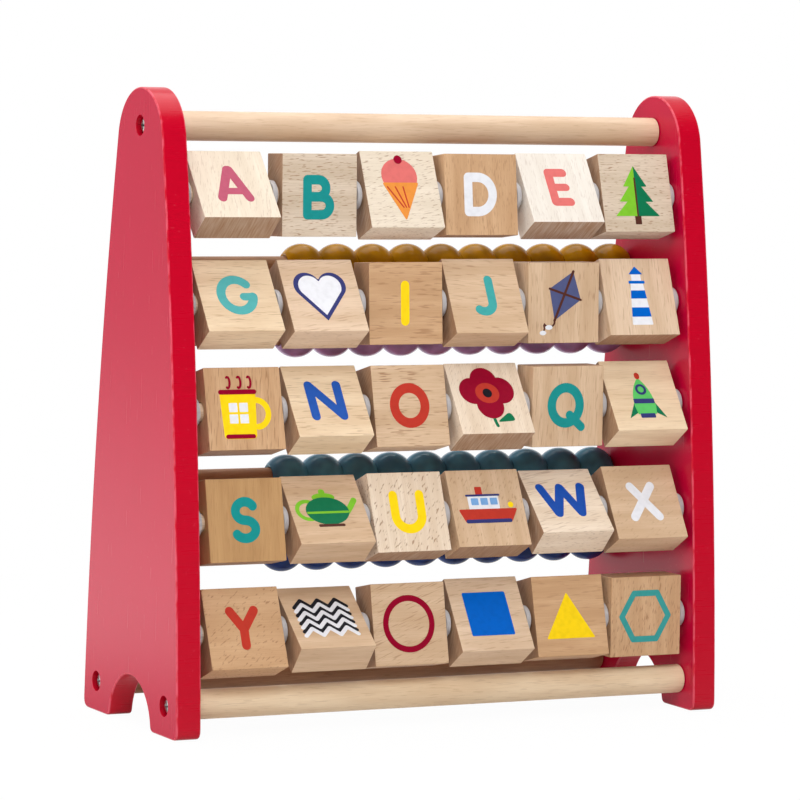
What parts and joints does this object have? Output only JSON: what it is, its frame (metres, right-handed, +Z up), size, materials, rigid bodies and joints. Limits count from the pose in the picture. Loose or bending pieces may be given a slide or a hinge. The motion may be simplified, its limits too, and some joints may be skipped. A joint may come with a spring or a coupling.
{
  "type": "alphabet abacus",
  "caption": "Wooden toy abacus: lacquered side panels on round rails, rows of turning letter blocks in front and sliding counting beads behind.",
  "frame": {"origin": "on the floor, midway between the two side panels and midway in their depth", "axes": "+X along the rods to the right as seen from the letter side, the letters face -Y, +Z up"},
  "size_m": [0.281, 0.1115, 0.2915],
  "materials": {
    "panel_lacquer": "satin red lacquer over wood",
    "rail_wood": "natural turned wood, clear satin",
    "screw_steel": "zinc-plated steel",
    "axle_wood": "natural dowel",
    "spacer_plastic": "milky white plastic",
    "bead_rod_wood": "brown dowel",
    "block_beech": "natural beech, printed faces",
    "bead_yellow": "gloss mustard lacquer",
    "bead_purple": "gloss purple lacquer",
    "bead_coral": "gloss coral lacquer",
    "bead_teal": "gloss teal lacquer",
    "bead_blue": "gloss navy lacquer"
  },
  "bodies": {
    "stand": {"side_panel_left": "panel_lacquer", "side_panel_right": "panel_lacquer", "top_rail": "rail_wood", "screw_top_left": "screw_steel", "screw_top_right": "screw_steel", "front_rail": "rail_wood", "screw_front_left": "screw_steel", "screw_front_right": "screw_steel", "rear_rail": "rail_wood", "screw_rear_left": "screw_steel", "screw_rear_right": "screw_steel", "axle_1": "axle_wood", "bead_rod_1": "bead_rod_wood", "axle_2": "axle_wood", "bead_rod_2": "bead_rod_wood", "axle_3": "axle_wood", "bead_rod_3": "bead_rod_wood", "axle_4": "axle_wood", "bead_rod_4": "bead_rod_wood", "axle_5": "axle_wood", "bead_rod_5": "bead_rod_wood"},
    "block_a": {"block_a": "block_beech"},
    "block_b": {"block_b": "block_beech"},
    "block_c": {"block_c": "block_beech"},
    "block_d": {"block_d": "block_beech"},
    "block_e": {"block_e": "block_beech"},
    "block_f": {"block_f": "block_beech"},
    "block_g": {"block_g": "block_beech"},
    "block_h": {"block_h": "block_beech"},
    "block_i": {"block_i": "block_beech"},
    "block_j": {"block_j": "block_beech"},
    "block_k": {"block_k": "block_beech"},
    "block_l": {"block_l": "block_beech"},
    "block_m": {"block_m": "block_beech"},
    "block_n": {"block_n": "block_beech"},
    "block_o": {"block_o": "block_beech"},
    "block_p": {"block_p": "block_beech"},
    "block_q": {"block_q": "block_beech"},
    "block_r": {"block_r": "block_beech"},
    "block_s": {"block_s": "block_beech"},
    "block_t": {"block_t": "block_beech"},
    "block_u": {"block_u": "block_beech"},
    "block_v": {"block_v": "block_beech"},
    "block_w": {"block_w": "block_beech"},
    "block_x": {"block_x": "block_beech"},
    "block_y": {"block_y": "block_beech"},
    "block_z": {"block_z": "block_beech"},
    "block_circle": {"block_circle": "block_beech"},
    "block_square": {"block_square": "block_beech"},
    "block_triangle": {"block_triangle": "block_beech"},
    "block_hexagon": {"block_hexagon": "block_beech"},
    "beads_yellow": {"beads_yellow": "bead_yellow"},
    "beads_purple": {"beads_purple": "bead_purple"},
    "beads_coral": {"beads_coral": "bead_coral"},
    "beads_teal": {"beads_teal": "bead_teal"},
    "beads_blue": {"beads_blue": "bead_blue"}
  },
  "joints": [
    {"name": "block_a_turn", "type": "hinge", "parent": "stand", "child": "block_a", "pos_m": [-0.10395, -0.0163, 0.24355], "axis": [1, 0, 0], "continuous": true},
    {"name": "block_b_turn", "type": "hinge", "parent": "stand", "child": "block_b", "pos_m": [-0.06101, -0.0163, 0.24355], "axis": [1, 0, 0], "continuous": true},
    {"name": "block_c_turn", "type": "hinge", "parent": "stand", "child": "block_c", "pos_m": [-0.01837, -0.0163, 0.24355], "axis": [1, 0, 0], "continuous": true},
    {"name": "block_d_turn", "type": "hinge", "parent": "stand", "child": "block_d", "pos_m": [0.02277, -0.0163, 0.24355], "axis": [1, 0, 0], "continuous": true},
    {"name": "block_e_turn", "type": "hinge", "parent": "stand", "child": "block_e", "pos_m": [0.06521, -0.0163, 0.24355], "axis": [1, 0, 0], "continuous": true},
    {"name": "block_f_turn", "type": "hinge", "parent": "stand", "child": "block_f", "pos_m": [0.10635, -0.0163, 0.24355], "axis": [1, 0, 0], "continuous": true},
    {"name": "block_g_turn", "type": "hinge", "parent": "stand", "child": "block_g", "pos_m": [-0.10375, -0.02364, 0.19393], "axis": [1, 0, 0], "continuous": true},
    {"name": "block_h_turn", "type": "hinge", "parent": "stand", "child": "block_h", "pos_m": [-0.06111, -0.02364, 0.19393], "axis": [1, 0, 0], "continuous": true},
    {"name": "block_i_turn", "type": "hinge", "parent": "stand", "child": "block_i", "pos_m": [-0.01907, -0.02364, 0.19393], "axis": [1, 0, 0], "continuous": true},
    {"name": "block_j_turn", "type": "hinge", "parent": "stand", "child": "block_j", "pos_m": [0.02267, -0.02364, 0.19393], "axis": [1, 0, 0], "continuous": true},
    {"name": "block_k_turn", "type": "hinge", "parent": "stand", "child": "block_k", "pos_m": [0.06421, -0.02364, 0.19393], "axis": [1, 0, 0], "continuous": true},
    {"name": "block_l_turn", "type": "hinge", "parent": "stand", "child": "block_l", "pos_m": [0.10565, -0.02364, 0.19393], "axis": [1, 0, 0], "continuous": true},
    {"name": "block_m_turn", "type": "hinge", "parent": "stand", "child": "block_m", "pos_m": [-0.10255, -0.0296, 0.1457], "axis": [1, 0, 0], "continuous": true},
    {"name": "block_n_turn", "type": "hinge", "parent": "stand", "child": "block_n", "pos_m": [-0.06051, -0.0296, 0.1457], "axis": [1, 0, 0], "continuous": true},
    {"name": "block_o_turn", "type": "hinge", "parent": "stand", "child": "block_o", "pos_m": [-0.01837, -0.0296, 0.1457], "axis": [1, 0, 0], "continuous": true},
    {"name": "block_p_turn", "type": "hinge", "parent": "stand", "child": "block_p", "pos_m": [0.02347, -0.0296, 0.1457], "axis": [1, 0, 0], "continuous": true},
    {"name": "block_q_turn", "type": "hinge", "parent": "stand", "child": "block_q", "pos_m": [0.06471, -0.0296, 0.1457], "axis": [1, 0, 0], "continuous": true},
    {"name": "block_r_turn", "type": "hinge", "parent": "stand", "child": "block_r", "pos_m": [0.10615, -0.0296, 0.1457], "axis": [1, 0, 0], "continuous": true},
    {"name": "block_s_turn", "type": "hinge", "parent": "stand", "child": "block_s", "pos_m": [-0.10305, -0.03453, 0.09593], "axis": [1, 0, 0], "continuous": true},
    {"name": "block_t_turn", "type": "hinge", "parent": "stand", "child": "block_t", "pos_m": [-0.06121, -0.03453, 0.09593], "axis": [1, 0, 0], "continuous": true},
    {"name": "block_u_turn", "type": "hinge", "parent": "stand", "child": "block_u", "pos_m": [-0.02007, -0.03453, 0.09593], "axis": [1, 0, 0], "continuous": true},
    {"name": "block_v_turn", "type": "hinge", "parent": "stand", "child": "block_v", "pos_m": [0.02147, -0.03453, 0.09593], "axis": [1, 0, 0], "continuous": true},
    {"name": "block_w_turn", "type": "hinge", "parent": "stand", "child": "block_w", "pos_m": [0.06361, -0.03453, 0.09593], "axis": [1, 0, 0], "continuous": true},
    {"name": "block_x_turn", "type": "hinge", "parent": "stand", "child": "block_x", "pos_m": [0.10555, -0.03453, 0.09593], "axis": [1, 0, 0], "continuous": true},
    {"name": "block_y_turn", "type": "hinge", "parent": "stand", "child": "block_y", "pos_m": [-0.10405, -0.03827, 0.04575], "axis": [1, 0, 0], "continuous": true},
    {"name": "block_z_turn", "type": "hinge", "parent": "stand", "child": "block_z", "pos_m": [-0.06241, -0.03827, 0.04575], "axis": [1, 0, 0], "continuous": true},
    {"name": "block_circle_turn", "type": "hinge", "parent": "stand", "child": "block_circle", "pos_m": [-0.02047, -0.03827, 0.04575], "axis": [1, 0, 0], "continuous": true},
    {"name": "block_square_turn", "type": "hinge", "parent": "stand", "child": "block_square", "pos_m": [0.02167, -0.03827, 0.04575], "axis": [1, 0, 0], "continuous": true},
    {"name": "block_triangle_turn", "type": "hinge", "parent": "stand", "child": "block_triangle", "pos_m": [0.06421, -0.03827, 0.04575], "axis": [1, 0, 0], "continuous": true},
    {"name": "block_hexagon_turn", "type": "hinge", "parent": "stand", "child": "block_hexagon", "pos_m": [0.10535, -0.03827, 0.04575], "axis": [1, 0, 0], "continuous": true},
    {"name": "beads_yellow_slide", "type": "slide", "parent": "stand", "child": "beads_yellow", "axis": [1, 0, 0], "range_m": [-0.0713, 0]},
    {"name": "beads_purple_slide", "type": "slide", "parent": "stand", "child": "beads_purple", "axis": [1, 0, 0], "range_m": [-0.0713, 0]},
    {"name": "beads_coral_slide", "type": "slide", "parent": "stand", "child": "beads_coral", "axis": [1, 0, 0], "range_m": [-0.0713, 0]},
    {"name": "beads_teal_slide", "type": "slide", "parent": "stand", "child": "beads_teal", "axis": [1, 0, 0], "range_m": [-0.0713, 0]},
    {"name": "beads_blue_slide", "type": "slide", "parent": "stand", "child": "beads_blue", "axis": [1, 0, 0], "range_m": [-0.0713, 0]}
  ]
}
